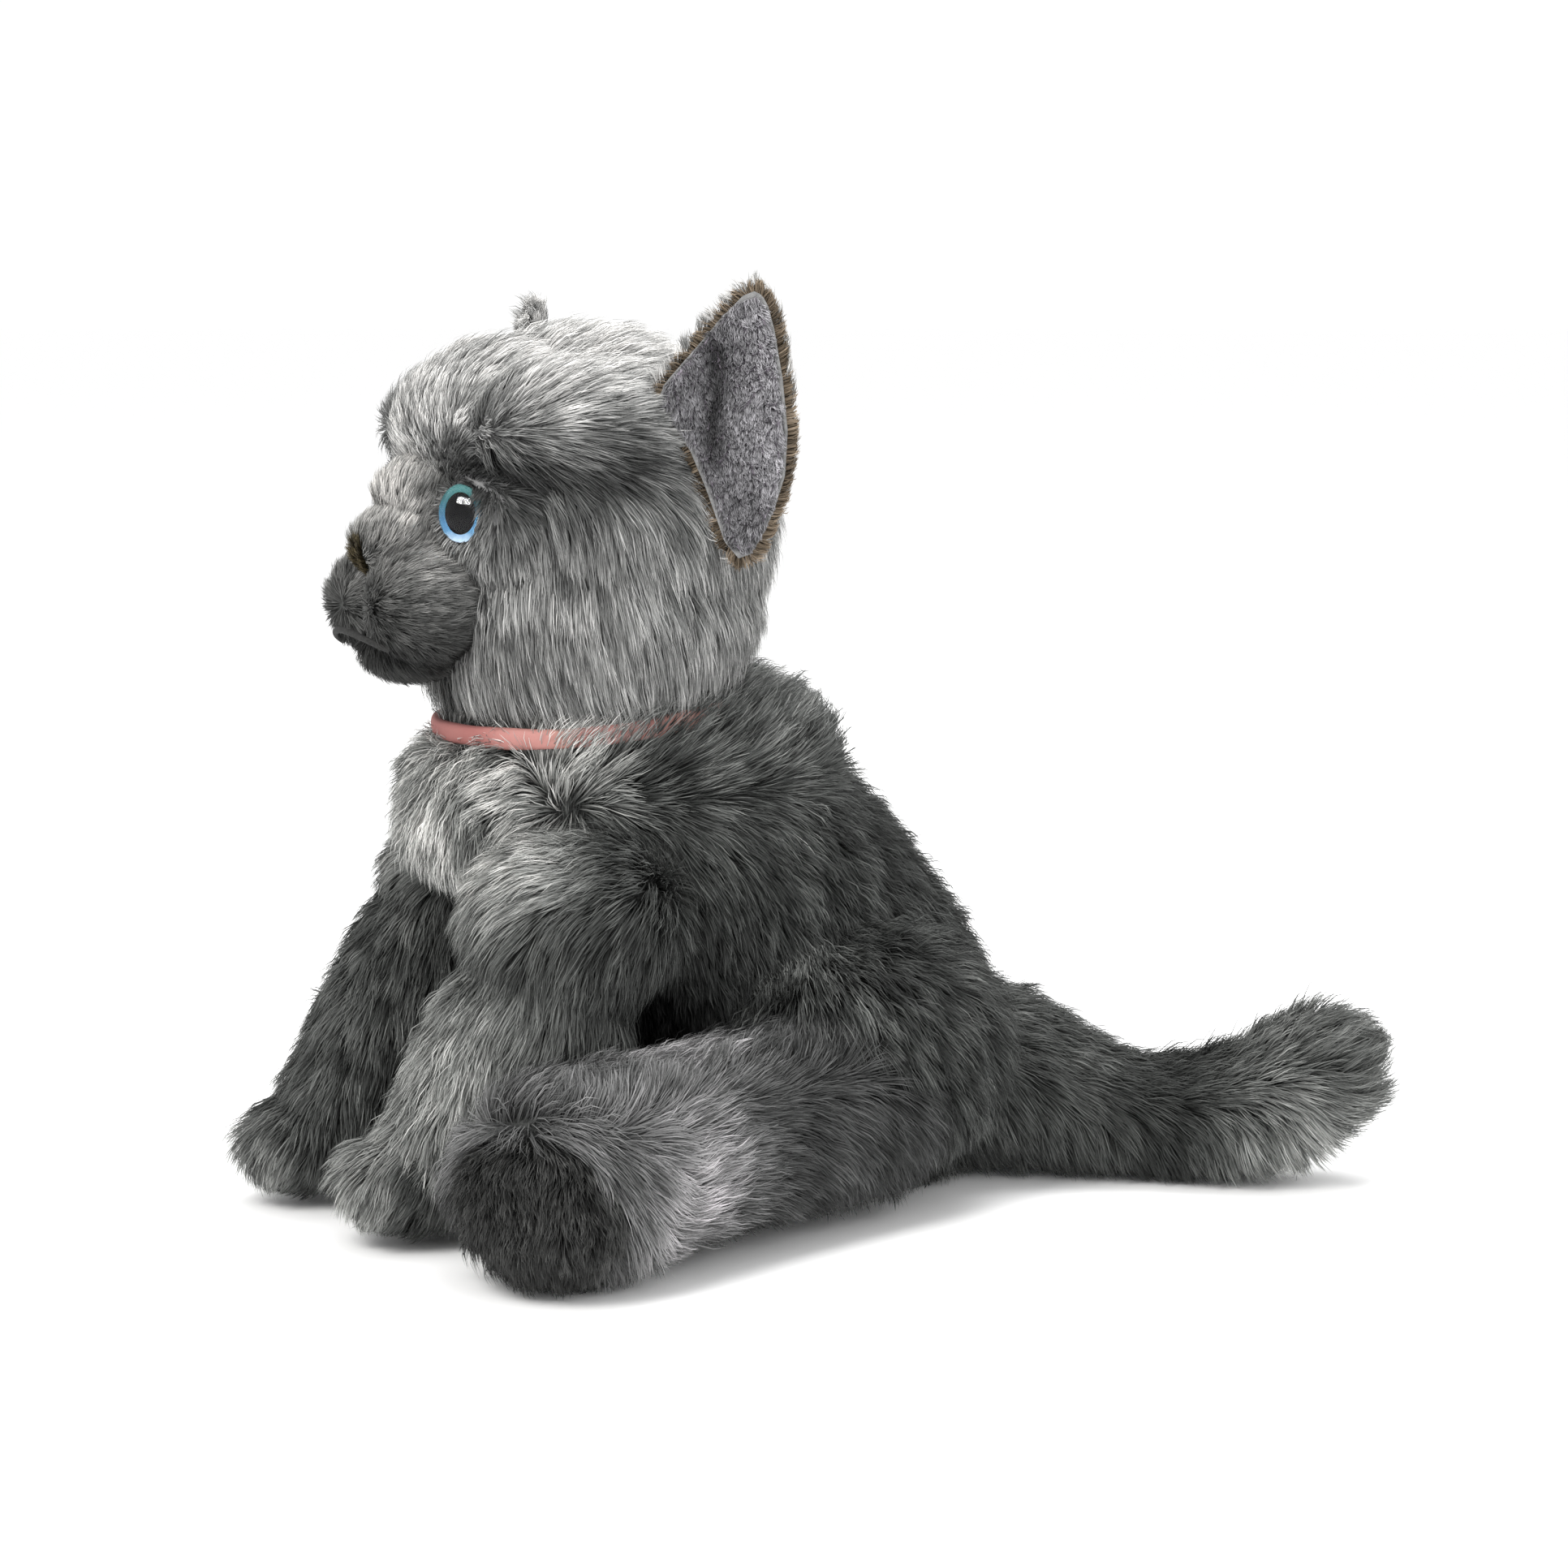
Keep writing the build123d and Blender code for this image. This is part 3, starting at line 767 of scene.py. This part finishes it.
def make_muzzle():
    forms = [egg(at, less(r, 3)) for at, r in PADS + [CHIN] + BRIDGE]
    skin = under("muzzle_plush", forms, 1.3, 5, backing)
    on_body("head", ("muzzle_skin", "muzzle_stuffing", "nose"))(skin)

    def flow(p, n):
        d = rows(p, 0, 1, 0.05)
        d[:, 0] += 0.25 * np.sign(p[:, 0]) * step(np.abs(p[:, 0]), 2, 10)
        d = mix(d, rows(p, 0, 0.6, 1), step(p[:, 2], 163, 173))
        return mix(d, rows(p, 0, 0.8, -0.7), step(-p[:, 2], -151, -146))

    def tone(p, n):
        side = mirrored(p)
        value = 78 + 36 * step(p[:, 2], 152, 168)
        value = value + 70 * step(p[:, 2], 168, 178) * step(-side[:, 0], -16, -6)
        value += 10 * wander(p, 9, 31) + 34 * near(side, (20, -88, 168), 12)
        value -= 24 * step(-p[:, 2], -153, -146) + 16 * step(p[:, 1], -84, -76)
        # painted shade in the eye's inner corner, beside the bridge
        value -= 84 * near(side, (15, -88, 184), 9)
        value -= 22 * step(-p[:, 1], 98, 106) * step(-p[:, 2], -163, -154)
        return np.maximum(value - 50 * ((mouth_gap(p) < 1.8) & (p[:, 1] < -80)), 18)

    def nose_zone(p, n):
        wide = 0.8 + 1.3 * step(p[:, 2], 162, 168)
        return (np.abs(p[:, 0]) < wide) & (p[:, 1] < -95) & (p[:, 2] > 157) & (p[:, 2] < 172)

    def long(p, n):
        return np.where((mouth_gap(p) < 1.6) & (p[:, 1] < -86), 4.6, 5.2)

    pile("muzzle_pile", skin, on_body("head"), short_pile, 9.0, long, flow,
         tone, 14, lambda p, n: (eye_gap(p) > EYE_R + 0.6) & ~nose_zone(p, n),
         rise=0.36, clump=1.8, gather=0.4, width=0.2, droop=0.02, ruffle=0.16)
    pile("nose_pile", skin, on_body("head"), nose_pile, 26, 2.8,
         lambda p, n: rows(p, 0, 0.3, 1), lambda p, n: 76 + 26 * wander(p, 4, 33), 15, nose_zone,
         rise=0.6, clump=1.4, gather=0.4, width=0.22, droop=0, ruffle=0.2)


def make_front_leg(name, side):
    line, body = FRONT[side], f"front_leg_{name}"
    paw_at, paw_radii = (line[-1][0], line[-1][1] - 0.5, 16), (17.5, 21, 15.8)
    forms = [limb_less(line), egg(paw_at, less(paw_radii, 5.5))]
    forms += [egg(at, less(r)) for at, r in ELBOWS[side]]
    skin = under(f"{body}_plush", forms, 2.4, 6, backing, floor=1.2)
    on_body(body, (f"{body}_skin", f"{body}_stuffing"))(skin)
    aim = unit(np.array(line[-1][:3], float) - np.array(line[0][:3], float))

    def flow(p, n):
        d = rows(p, *aim) + rows(p, 0, 0.25, -0.3)
        d = mix(d, rows(p, 0, -1, -0.25), step(p[:, 2], 72, 90))
        return mix(d, rows(p, 0, -0.5, -0.7), step(-p[:, 2], -30, -14))

    def tone(p, n):
        # the far leg is a little darker: painted shade
        level = 88 if side > 0 else 84
        value = level + 9 * wander(p, 26, 41 + side) + 9 * wander(p, 9, 43 + side)
        lit = 50 * step(-p[:, 2], -78, -56) if side > 0 else 46 * step(-p[:, 2], -30, -16)
        value += lit * step(-n[:, 1], 0.2, 0.65)
        value += 26 * near(p, (42, -87, 44), 16)
        value = mix(value, 172 + 9 * wander(p, 16, 47), lit_shoulder(p))
        value -= 20 * near(p, (60 * side, -58, 80), 26)
        # painted shade in the hollow behind the elbow, and painted shade on the fur just above the
        # floor
        return np.maximum(value - 34 * elbow_hollow(p) - 20 * step(-p[:, 2], -9, -3), 18)

    def keep(p, n):
        # none where the leg is inside the body
        depth = np.full(len(p), -9.0)
        for z, y, hx, hy in curve_through(TORSO, 3):
            level = np.abs(p[:, 2] - z) < 5
            inside = 1 - np.hypot(p[:, 0] / (hx - PILE), (p[:, 1] - y) / (hy - PILE))
            depth = np.where(level, np.maximum(depth, inside), depth)
        return depth < 0.12

    pile(f"{body}_pile", skin, on_body(body), body_pile, 3.6,
         lambda p, n: 11.5 - 4.5 * step(-p[:, 2], -24, -8), flow, tone, 51 + side, keep,
         rise=0.48, clump=3.4, gather=0.5)


def make_hind_leg(name, side):
    line, aim, body = HIND[side], sole_aim(side), f"hind_leg_{name}"
    foot = np.array(line[-1][:3], float)
    sole_depth = 18.0  # from the middle of the foot's ball to the flattened sole

    def shape(p):
        over = np.maximum((p - foot) @ aim - sole_depth, 0)
        return p - aim * (over * 0.85)[:, None]

    skin = under(f"{body}_plush", [limb_less(line)], 2.4, 6, backing, floor=1.2, shape=shape)
    on_body(body, (f"{body}_skin", f"{body}_stuffing", f"{body}_sole"))(skin)
    along = unit(foot - np.array(line[0][:3], float))
    fan = foot + np.array([0.0, 20.0, -7.0])  # the pile behind the foot fans out from here
    crossways = np.array([aim[1], -aim[0], 0.0])

    def sole_reach(p):
        """1 on the outline of the sole, and less inside it."""
        rel = p - foot - np.array([0, 0, -3.0])
        return np.hypot(rel @ crossways / 19, rel[:, 2] / 16.5)

    def on_sole(p, n):
        return (n @ aim > 0.35) & (sole_reach(p) < 1)

    def flow(p, n):
        d = rows(p, *(-along)) * 0.5 + rows(p, 0, 0, -0.8)
        d = mix(d, rows(p, 0, 0.2, 1), step(p[:, 2], 34, 44))
        fanned = near(p, fan + np.array([8.0 * side, 16, 0]), 44)
        d = mix(d, unit(p - fan) + rows(p, 0, 0.5, 0), fanned)
        rel = p - foot
        around = rel - np.outer(rel @ aim, aim)
        front = step(rel @ aim, 2, 16)
        return mix(d, unit(around) * 0.8 + rows(p, 0, 0, -0.35) + aim * 0.5, front)

    def tone(p, n):
        value = 66 + 8 * wander(p, 28, 61 + side) + 6 * wander(p, 9, 63 + side)
        shin = step(-p[:, 1], 34, 56) * step(p[:, 2], 14, 26)
        value = mix(value, 98 + 8 * wander(p, 20, 64), shin)
        # light catches the top of the leg
        band = step(n[:, 2], 0.3, 0.75) * step(88 - p[:, 0] * side, 0, 16)
        value += 52 * (band * step(-p[:, 1], 26, 40) * step(p[:, 1], -76, -62))
        value += 74 * near(p, fan + np.array([11.0 * side, 4, 1]), 24)
        value += 22 * near(p, foot + np.array([10.0 * side, 14, -14]), 18)
        # painted shade on the fur just above the floor
        return np.maximum(value - 22 * step(-p[:, 2], -12, -3), 18)

    def keep(p, n):
        return ~on_sole(p, n) & ~((seat_reach(p) < 0.86) & (p[:, 2] < 60))

    def sole_tone(p, n):
        return 58 + 8 * wander(p, 9, 65 + side) + 20 * step(sole_reach(p), 0.85, 1.0)

    pile(f"{body}_pile", skin, on_body(body), thigh_pile, 3.6,
         lambda p, n: 12 - 4.0 * step(-p[:, 2], -18, -6), flow, tone, 71 + side, keep,
         rise=0.52, clump=3.4, gather=0.5)
    pile(f"{body}_sole_pile", skin, on_body(body), short_pile, 6.5, 6.0,
         lambda p, n: rows(p, 0.2, 0, -1), sole_tone, 81 + side, on_sole,
         rise=0.75, clump=2.0, gather=0.4, width=0.22, droop=0.05, ruffle=0.35)


def make_tail():
    skin = under("tail_plush", [limb_less(TAIL)], 2.2, 6, backing, floor=1.2)
    bend = ("tail_base", "tail_tip", (49, 89, 17.5), (63, 105, 18), "grey_plush")
    nodes = ("tail_base_skin", "tail_base_stuffing", "tail_tip_skin", "tail_tip_stuffing")
    across(*bend, nodes, 0.8)(skin)
    line = curve_through(TAIL, 6)[:, :3]
    ways = unit(np.gradient(line, axis=0))

    def spine(p):
        """For each point, the number of the closest point on the tail's line."""
        return ((p[:, None] - line[None]) ** 2).sum(2).argmin(1)

    def flow(p, n):
        index = spine(p)
        out = unit(p - line[index])
        hang = rows(p, 0, 0, -0.9) * step(-out[:, 2], -0.5, 0.2)[:, None]
        d = ways[index] * 0.55 + hang + out * 0.2
        return mix(d, unit(p - np.array(TAIL[-2][:3])), step(p[:, 1], 120, 132))

    def tone(p, n):
        above = step(p[:, 2] - line[spine(p)][:, 2], -4, 10)
        value = 74 + 8 * wander(p, 24, 91) + 7 * wander(p, 9, 92) + 12 * above
        value += (44 * step(p[:, 1], 98, 116) * step(-p[:, 2], -32, -20)
                  + 24 * step(p[:, 1], 104, 122))
        value -= 26 * near(p, (60, 100, 27), 24)
        # painted shade on the fur just above the floor
        return np.maximum(value - 34 * step(-p[:, 2], -13, -3), 18)

    pile("tail_pile", skin, across(*bend), body_pile, 3.8,
         lambda p, n: 12.5 - 4 * step(-p[:, 2], -16, -5), flow, tone, 93,
         lambda p, n: seat_reach(p) > 0.84, rise=0.58, clump=3.2, gather=0.5)


# ------------------------------------------------------------------ ears
# Two points on the left ear's seam, and the direction its leaf spreads. In the ear's own frame x
# runs out from the seam and y up it, and the leaf reaches from EAR_FOOT to EAR_TOP.
EAR_LOW, EAR_HIGH, EAR_OUT = (54, -28, 168), (43.5, -39, 209), (0.53, 0.83, 0.17)
EAR_FOOT, EAR_TOP = -23, 36.5
EAR_SHORT = 1.15  # the right ear's upper part is shorter by this
RIGHT_EAR_SET_FORWARD = 6


def ear_frame(side):
    """The ear's middle, and its directions out, up and to the front."""
    low, high, out = (np.array(v, float) for v in (EAR_LOW, EAR_HIGH, EAR_OUT))
    up = unit(high - low)
    out = unit(out - up * (out @ up))
    middle = (low + high) / 2
    flip = np.array([side, 1, 1])
    middle, up, out = middle * flip, up * flip, out * flip
    if side < 0:
        middle = middle - (0, RIGHT_EAR_SET_FORWARD, 0)
    return middle, out, up, np.cross(out, up) * side


def ear_edge(y, side):
    """The ear's two edges at a height: how far out each is from the seam."""
    y = np.where(np.asarray(y) > 0, np.asarray(y) * (1.0 if side > 0 else EAR_SHORT), y)
    inner = np.interp(y, [EAR_FOOT, -18, -4, 6, 12, 19, 23, 33, EAR_TOP],
                      [5, 3, 3, 2.5, 1, -1, 2.5, 19.5, 27.5])
    outer = np.interp(y, [EAR_FOOT, -20, -15, -8, 2, 14, 26, 32, 35, EAR_TOP],
                      [8, 12, 17, 22.5, 27, 30, 32, 32.5, 32, 30.5])
    return inner, outer


def crease_at(y):
    """How far out the ear's fold is, at a height."""
    return np.clip(9 + 0.45 * (y - 8), 7.5, 17)


def ear_sheet(side, margin, low, high):
    """A cupped leaf between two depths and inside a margin, as points and faces."""
    middle, out, up, front = ear_frame(side)
    wide, tall = 28, 52
    top = EAR_TOP if side > 0 else EAR_TOP / EAR_SHORT

    def at(i, j, depth):
        y = EAR_FOOT + margin + (top - EAR_FOOT - 2.0 * margin) * j / tall
        a, b = ear_edge(y, side)
        a, b = a + margin, b - margin
        x = a + (b - a) * i / wide if b > a else (a + b) / 2
        # a fold along the crease, a foot that curls in, and a rim that stands proud
        z = 0.40 * math.sqrt((x - crease_at(y)) ** 2 + 6) - 1.0 + 3.5 * max(0, (-8 - y) / 16) ** 2
        z += 1.2 * step(x - 22.0, 0, 8) * (1 - step(abs(y) - 10.0, 0, 20))
        return middle + out * x + up * y + front * (z - 2.0 + depth)

    points, faces = [], []
    for depth in (low, high):
        points += [at(i, j, depth) for j in range(tall + 1) for i in range(wide + 1)]
    row, layer = wide + 1, (wide + 1) * (tall + 1)
    for j in range(tall):
        for i in range(wide):
            a = j * row + i
            faces.append((a, a + row, a + row + 1, a + 1))
            faces.append((layer + a, layer + a + 1, layer + a + row + 1, layer + a + row))
    ring = list(range(row)) + [j * row + wide for j in range(1, tall + 1)]
    ring += [tall * row + i for i in range(wide - 1, -1, -1)]
    ring += [j * row for j in range(tall - 1, 0, -1)]
    for a, b in zip(ring, ring[1:] + ring[:1]):
        faces.append((a, b, layer + b, layer + a))
    return points, [f if side > 0 else tuple(reversed(f)) for f in faces]


def make_ear(name, side):
    middle, out, up, front = ear_frame(side)
    body = f"ear_{name}"
    back_thick, lining_margin, lining_low, lining_high = 2.6, 1.6, 2.3, 3.4
    points, faces = ear_sheet(side, 0, 0, back_thick)
    back = paint(mesh_object(f"{body}_plush", np.array(points) * MM, faces), light_backing)
    on_body(body, (f"{body}_back",))(back)
    points, faces = ear_sheet(side, lining_margin, lining_low, lining_high)
    lining = paint(mesh_object(f"{body}_lining_cloth", np.array(points) * MM, faces), lining_cloth)
    on_body(body, (f"{body}_lining",))(lining)

    def local(p):
        rel = p - middle
        return rel @ out, rel @ up

    def outward(p):
        """Towards the nearest edge of the leaf."""
        x, y = local(p)
        a, b = ear_edge(y, side)
        wide = ((x - (a + b) / 2) / np.maximum((b - a) / 2, 2))[:, None] * out
        high, low = step(y, 12, 36) * 0.9, step(-y, 10, 24) * 0.8
        return wide + high[:, None] * up - low[:, None] * up

    def lining_tone(p, n):
        x, y = local(p)
        crease = crease_at(y)
        value = 120 + 10 * wander(p, 9, 109) + 32 * step(x - crease, 4, 13)
        # painted shade along the fold of the lining
        value -= 66 * np.exp(-((x - crease) / 3.0) ** 2) * step(y, -4, 8) * step(-y, -34, -26)
        return np.maximum(value, 30)

    # the left ear has a short brown rim, and the right one a light tuft
    rim_fibre, rim_length, rim_tone = (rim_pile, 3.6, 116) if side > 0 else (head_pile, 5.0, 214)
    plush, soft = on_body(body), on_body(body)
    pile(f"{body}_pile", back, plush, head_pile, 6.0, 6.0,
         lambda p, n: rows(p, *up) + outward(p) * 0.4, lambda p, n: 190 + 12 * wander(p, 12, 101),
         103 + side, lambda p, n: n @ front < -0.1, rise=0.4, clump=2.6, droop=0.02)
    pile(f"{body}_rim_pile", back, plush, rim_fibre, 15.0, rim_length,
         lambda p, n: outward(p) - 0.35 * front, lambda p, n: rim_tone + 26 * wander(p, 7, 105),
         107 + side, lambda p, n: np.abs(n @ front) < 0.6, rise=0.55, clump=2.0, droop=0.0)
    pile(f"{body}_lining_pile", lining, soft, lilac_pile, 13.0, 1.9,
         lambda p, n: rows(p, *(-up)) + 0.3 * outward(p), lining_tone, 111 + side,
         lambda p, n: n @ front > 0.2, rise=0.68, clump=1.9, gather=0.6, width=0.24, droop=0.02,
         ruffle=0.36, streak=0.11)


# ------------------------------------------------------------------ collar and face
NECK_TILT, NECK_Y, NECK_Z = 5, -37, 120  # the neck leans forward by so many degrees from here
COLLAR_RADIUS, COLLAR_RISE = 39.0, 6.0
COLLAR_HALF = (1.6, 2.6)  # half its thickness and half its height


def on_neck(p):
    """From the leaning neck's own frame to the cat's."""
    c, s = math.cos(math.radians(NECK_TILT)), math.sin(math.radians(NECK_TILT))
    x, y, z = p
    return (x, NECK_Y + y * c - z * s, NECK_Z + y * s + z * c)


def make_collar():
    material, tree, shader = new_material("salmon_felt", 0.75, 0.3)
    place = tree.nodes.new("ShaderNodeTexCoord")
    wide = node(tree, "ShaderNodeTexNoise", Scale=22, Detail=2)
    fine = node(tree, "ShaderNodeTexNoise", Scale=2600, Detail=2)
    colours = ramp(tree, [(0.35, (0.33, 0.12, 0.11)), (0.5, (0.40, 0.19, 0.17)),
                          (0.68, (0.38, 0.28, 0.20))])
    bumps = node(tree, "ShaderNodeBump", Strength=0.35, Distance=0.0002)
    link = tree.links.new
    link(place.outputs["Object"], wide.inputs["Vector"])
    link(place.outputs["Object"], fine.inputs["Vector"])
    link(wide.outputs[0], colours.inputs[0])
    link(colours.outputs[0], shader.inputs["Base Color"])
    link(fine.outputs[0], bumps.inputs["Height"])
    link(bumps.outputs[0], shader.inputs["Normal"])
    around, section, points, faces = 144, 20, [], []
    for i in range(around):
        a = 2 * math.pi * i / around
        puff = 1 + 0.05 * math.sin(5 * a + 0.6) + 0.03 * math.sin(11 * a)
        for j in range(section):
            b = 2 * math.pi * j / section
            c, s = math.cos(b), math.sin(b)
            out = COLLAR_RADIUS + COLLAR_HALF[0] * puff * math.copysign(abs(c) ** 0.7, c)
            height = COLLAR_RISE + COLLAR_HALF[1] * puff * math.copysign(abs(s) ** 0.8, s)
            height += 0.4 * math.sin(3 * a)
            points.append(on_neck((out * math.cos(a), out * math.sin(a), height)))
    for i in range(around):
        for j in range(section):
            here, there, k = i * section, (i + 1) % around * section, (j + 1) % section
            faces.append((here + j, there + j, there + k, here + k))
    band = paint(mesh_object("collar_felt_band", np.array(points) * MM, faces), material)
    on_body("collar", ("collar_band",))(band)


def solid(name, colour, roughness, specular=0.5):
    """A nearly plain colour."""
    spread, scale = 0.15, 400
    dark = tuple(c * (1 - spread) for c in colour)
    light = tuple(min(1, c * (1 + spread)) for c in colour)
    return mottled(name, dark, light, scale, roughness, 0.0, specular, 3)


def give(name, material):
    paint(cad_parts[name], material)


def make_face():
    dome, _, shader = new_material("clear_dome", 0.02, 0.5)
    clear = {"Transmission Weight": 1.0, "IOR": 1.02, "Coat Weight": 1.0, "Coat Roughness": 0.0,
             "Coat IOR": 1.2}
    for key, value in clear.items():
        shader.inputs[key].default_value = value
    iris, tree, shader = new_material("iris_paint", 0.25, 0.4)
    place = tree.nodes.new("ShaderNodeTexCoord")
    axes = tree.nodes.new("ShaderNodeSeparateXYZ")
    speckle = node(tree, "ShaderNodeTexNoise", Scale=900, Detail=4)
    tint = tree.nodes.new("ShaderNodeMath")
    tint.operation = "MULTIPLY_ADD"
    # from the ring's lower edge, whose pale blue is a painted highlight, to its upper edge
    colours = ramp(tree, [(0.08, (0.42, 0.55, 0.70)), (0.25, (0.06, 0.17, 0.30)),
                          (0.5, (0.02, 0.085, 0.16)), (0.8, (0.012, 0.08, 0.09)),
                          (1.0, (0.03, 0.11, 0.11))])
    link = tree.links.new
    link(place.outputs["Generated"], axes.inputs[0])
    link(place.outputs["Object"], speckle.inputs["Vector"])
    link(speckle.outputs[0], tint.inputs[0])
    link(axes.outputs["Z"], tint.inputs[2])
    tint.inputs[1].default_value = 0.12
    link(tint.outputs[0], colours.inputs[0])
    link(colours.outputs[0], shader.inputs["Base Color"])
    eye = {"dome": dome, "iris": iris,
           "pupil": solid("pupil_paint", (0.0015, 0.0015, 0.002), 0.5, 0.0),
           "shank": solid("black_moulding", (0.02, 0.02, 0.022), 0.35),
           "washer": solid("white_moulding", (0.75, 0.75, 0.72), 0.4)}
    for name in SIDES:
        for part, material in eye.items():
            give(f"eye_{name}_{part}", material)
    give("bean_pouch", mottled("pouch_weave", (0.55, 0.55, 0.52), (0.8, 0.8, 0.76), 500, 0.9, 0.4))
    give("bean_pellets", mottled("pellet_fill", (0.6, 0.6, 0.58), (0.9, 0.9, 0.88), 350, 0.5, 0.4))
    thread = mottled("dark_thread", (0.006, 0.006, 0.006), (0.03, 0.03, 0.029), 1500, 0.8, 0.4)
    give("mouth_stitch", thread)


make_camera()
make_stage()
make_torso()
make_neck()
make_head()
make_muzzle()
make_tail()
make_collar()
make_face()
for side_name, side_sign in SIDES.items():
    make_front_leg(side_name, side_sign)
    make_hind_leg(side_name, side_sign)
    make_ear(side_name, side_sign)
